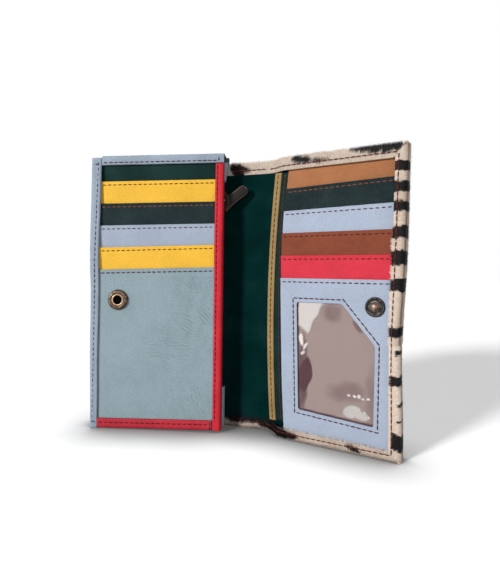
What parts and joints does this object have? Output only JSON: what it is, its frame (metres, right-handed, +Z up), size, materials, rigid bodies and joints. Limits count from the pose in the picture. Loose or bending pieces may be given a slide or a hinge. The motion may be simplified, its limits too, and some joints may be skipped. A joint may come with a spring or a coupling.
{
  "type": "snap bifold wallet",
  "caption": "Long leather wallet standing open: card pockets on both halves, a zipped coin pouch, an ID window and a press stud closure.",
  "frame": {"origin": "centre of the footprint of the open wallet, on the surface it stands on", "axes": "+X from the pouch half to the leaf, +Z up along the folds, the inside faces -Y"},
  "size_m": [0.2198, 0.0584, 0.2],
  "materials": {
    "hide": "hair-on cream hide with dark stripes",
    "lining": "smooth dark green leather",
    "pale_blue_leather": "soft grained",
    "grey_blue_leather": "soft grained with fine creases",
    "dark_green_leather": "soft grained",
    "yellow_leather": "soft grained",
    "red_leather": "soft grained",
    "orange_leather": "soft grained",
    "brown_leather": "soft grained",
    "tan_leather": "soft grained",
    "thong_leather": "waxed, raw edges",
    "taupe_lining": "plain",
    "zip_tape": "woven",
    "clear_film": "clear soft film",
    "dark_bronze": "antique",
    "brass": "antique",
    "gunmetal": "antique"
  },
  "bodies": {
    "left_half": {"back_cover": "hide", "back_lining": "lining", "pouch_back": "pale_blue_leather", "pouch_front": "dark_green_leather", "pouch_pocket_backing": "dark_green_leather", "pouch_pocket_1_yellow": "yellow_leather", "pouch_pocket_2_green": "dark_green_leather", "pouch_pocket_3_blue": "pale_blue_leather", "pouch_pocket_4_yellow": "yellow_leather", "pouch_pocket_5_large": "grey_blue_leather", "left_binding": "pale_blue_leather", "top_binding": "pale_blue_leather", "bottom_binding": "red_leather", "right_binding": "red_leather", "zip_tape_back": "zip_tape", "zip_tape_front": "zip_tape", "zip_tab_top": "pale_blue_leather", "zip_tab_bottom": "pale_blue_leather", "snap_socket": "dark_bronze", "snap_eyelet": "brass"},
    "spine": {"spine_cover": "hide", "spine_lining": "lining"},
    "right_leaf": {"leaf_cover": "hide", "leaf_lining": "lining", "divider": "dark_green_leather", "divider_trim": "tan_leather", "leaf_pocket_backing": "orange_leather", "leaf_pocket_1_green": "dark_green_leather", "leaf_pocket_2_blue": "pale_blue_leather", "leaf_pocket_3_brown": "brown_leather", "leaf_pocket_4_red": "red_leather", "leaf_window_panel": "pale_blue_leather", "window_film": "clear_film", "window_lining": "taupe_lining", "stud_base": "gunmetal", "stud_post": "brass"},
    "zip_slider": {"zip_slider": "brass"},
    "zip_pull": {"pull_link": "brass", "pull_thong": "thong_leather"}
  },
  "joints": [
    {"name": "spine_fold", "type": "hinge", "parent": "left_half", "child": "spine", "pos_m": [-0.00724, 0.02613, 0.0985], "axis": [0, 0, -1], "range_deg": [-13.2, 76.8], "deforming": ["pull_thong"]},
    {"name": "cover_fold", "type": "hinge", "parent": "spine", "child": "right_leaf", "pos_m": [0.01807, 0.0202, 0.0985], "axis": [0, 0, -1], "range_deg": [-11.9, 78.1]},
    {"name": "zip_slide", "type": "slide", "parent": "left_half", "child": "zip_slider", "axis": [0, 0, 1], "range_m": [-0.137, 0.0045]},
    {"name": "pull_swing", "type": "hinge", "parent": "zip_slider", "child": "zip_pull", "pos_m": [-0.01529, 0.01973, 0.1673], "axis": [0, 1, 0], "range_deg": [-15, 66]}
  ]
}
